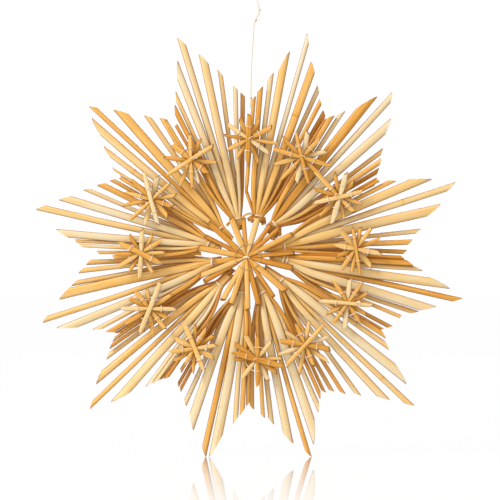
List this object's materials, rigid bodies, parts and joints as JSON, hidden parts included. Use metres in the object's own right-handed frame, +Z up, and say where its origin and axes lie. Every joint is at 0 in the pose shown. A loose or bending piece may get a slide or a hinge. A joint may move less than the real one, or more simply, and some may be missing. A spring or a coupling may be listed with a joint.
{
  "type": "straw star ornament",
  "caption": "Hanging star ornament of natural straw: tied fans of straws trimmed to points, small straw stars over the valleys, a centre rosette and a thread loop.",
  "frame": {"origin": "the point at the top of the thread's eye, where the ornament hangs", "axes": "+Z up, the star stands in the XZ plane and its front faces -Y"},
  "size_m": [0.2776, 0.0181, 0.3055],
  "materials": {
    "fan_straw": "satin natural straw",
    "small_star_straw": "satin natural straw",
    "rosette_straw": "satin natural straw",
    "thread": "matt cotton thread"
  },
  "bodies": {
    "root": {"centre_rosette": "rosette_straw", "fan_binding_01": "thread", "fan_binding_02": "thread", "fan_binding_03": "thread", "fan_binding_04": "thread", "fan_binding_05": "thread", "fan_binding_06": "thread", "fan_binding_07": "thread", "fan_binding_08": "thread", "fan_binding_09": "thread", "fan_binding_10": "thread", "fan_binding_11": "thread", "fan_binding_12": "thread", "hanging_thread": "thread", "rosette_thread": "thread", "small_star_01": "small_star_straw", "small_star_02": "small_star_straw", "small_star_03": "small_star_straw", "small_star_04": "small_star_straw", "small_star_05": "small_star_straw", "small_star_06": "small_star_straw", "small_star_07": "small_star_straw", "small_star_08": "small_star_straw", "small_star_09": "small_star_straw", "small_star_10": "small_star_straw", "small_star_11": "small_star_straw", "small_star_12": "small_star_straw", "small_star_thread_01": "thread", "small_star_thread_02": "thread", "small_star_thread_03": "thread", "small_star_thread_04": "thread", "small_star_thread_05": "thread", "small_star_thread_06": "thread", "small_star_thread_07": "thread", "small_star_thread_08": "thread", "small_star_thread_09": "thread", "small_star_thread_10": "thread", "small_star_thread_11": "thread", "small_star_thread_12": "thread", "straw_fan_01": "fan_straw", "straw_fan_02": "fan_straw", "straw_fan_03": "fan_straw", "straw_fan_04": "fan_straw", "straw_fan_05": "fan_straw", "straw_fan_06": "fan_straw", "straw_fan_07": "fan_straw", "straw_fan_08": "fan_straw", "straw_fan_09": "fan_straw", "straw_fan_10": "fan_straw", "straw_fan_11": "fan_straw", "straw_fan_12": "fan_straw", "thread_eye": "thread", "thread_knot_lower": "thread", "thread_knot_middle": "thread", "thread_knot_upper": "thread"}
  },
  "joints": []
}
